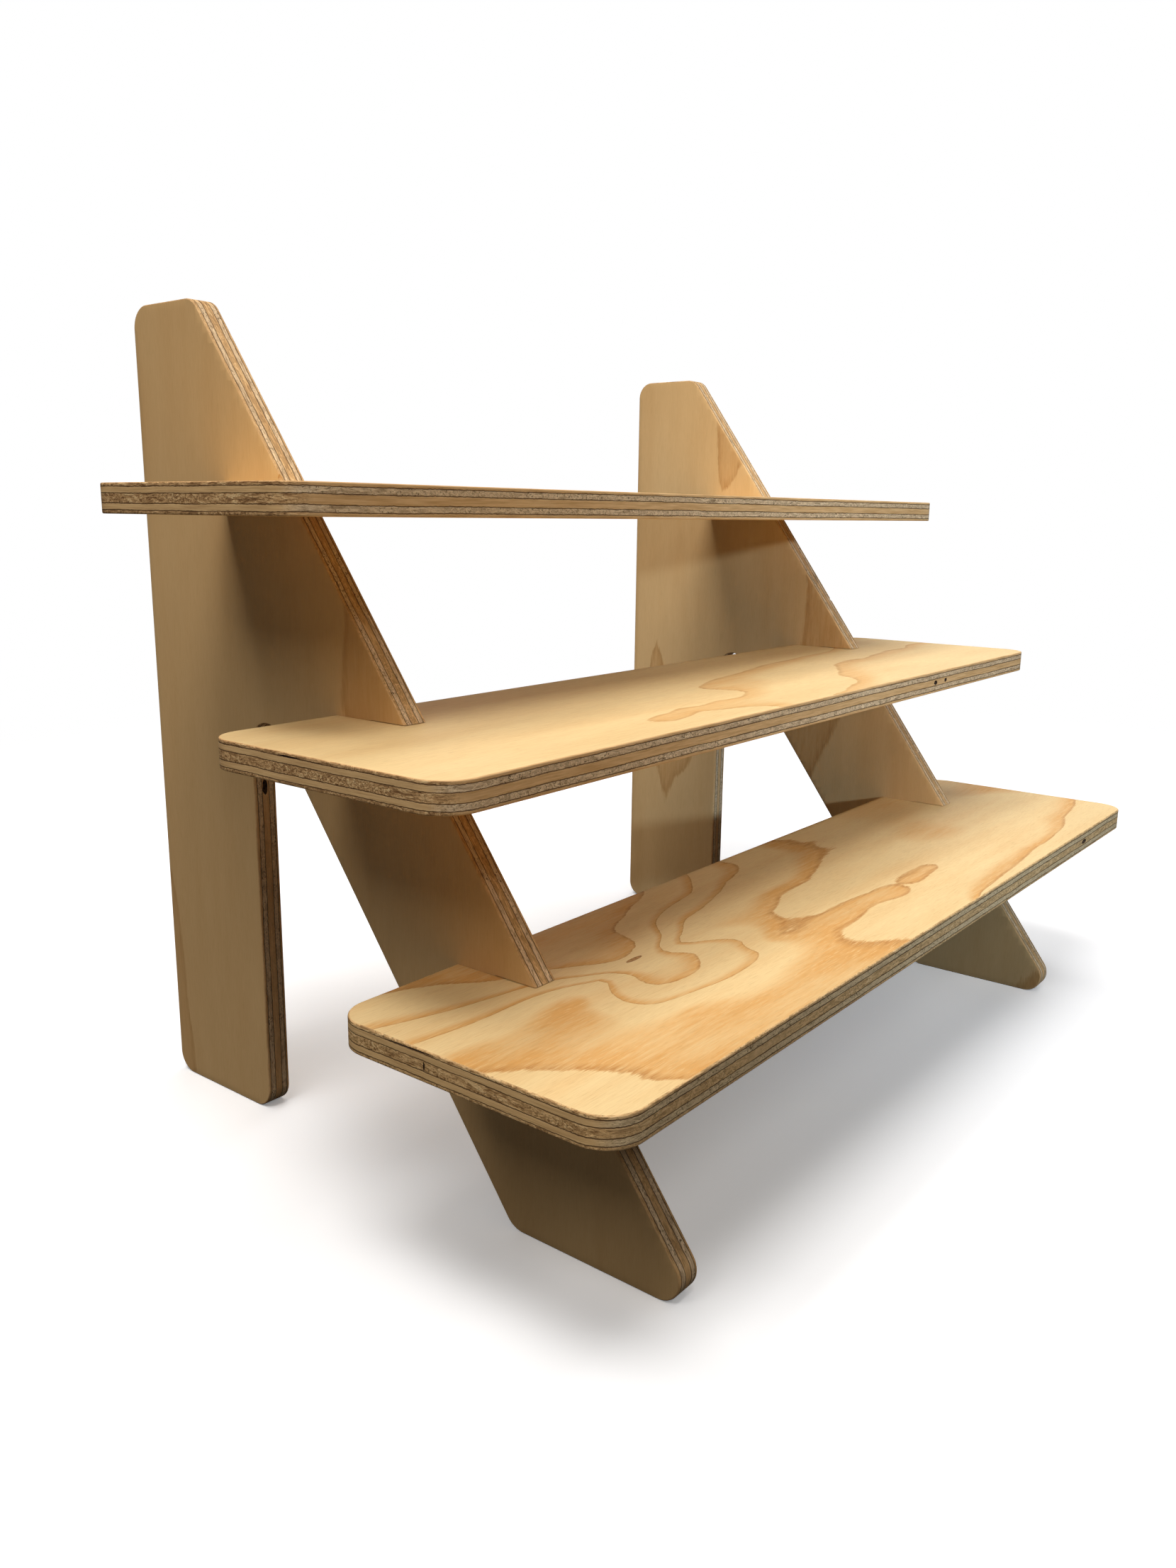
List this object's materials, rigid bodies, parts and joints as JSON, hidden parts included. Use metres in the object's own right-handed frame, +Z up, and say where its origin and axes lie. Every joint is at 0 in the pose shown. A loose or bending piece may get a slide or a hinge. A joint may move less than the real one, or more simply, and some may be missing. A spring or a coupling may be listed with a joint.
{
  "type": "tiered display table",
  "caption": "Knock-down plywood display riser: stepped shelves slot into two side frames with sloping fronts, each frame a back leg and a slanted front arm.",
  "frame": {"origin": "bottom centre of the whole stand's box, on the surface it stands on", "axes": "+X along the shelves, -Y towards the front, where the shelves step down, +Z up"},
  "size_m": [0.54, 0.334, 0.3775],
  "materials": {
    "frame_plywood": "sanded, unvarnished pine plywood, upright grain",
    "shelf_plywood": "sanded, unvarnished pine plywood, grain along the shelf"
  },
  "bodies": {
    "left_frame": {"left_frame": "frame_plywood"},
    "right_frame": {"right_frame": "frame_plywood"},
    "bottom_shelf": {"bottom_shelf": "shelf_plywood"},
    "middle_shelf": {"middle_shelf": "shelf_plywood"},
    "top_shelf": {"top_shelf": "shelf_plywood"}
  },
  "joints": [
    {"name": "bottom_shelf_pull", "type": "slide", "parent": "left_frame", "child": "bottom_shelf", "axis": [0, -1, 0], "range_m": [0, 0.06]},
    {"name": "middle_shelf_pull", "type": "slide", "parent": "left_frame", "child": "middle_shelf", "axis": [0, -1, 0], "range_m": [0, 0.06]},
    {"name": "top_shelf_pull", "type": "slide", "parent": "left_frame", "child": "top_shelf", "axis": [0, -1, 0], "range_m": [0, 0.06]},
    {"name": "right_frame_pull", "type": "slide", "parent": "left_frame", "child": "right_frame", "axis": [0, 1, 0], "range_m": [0, 0.06]}
  ]
}
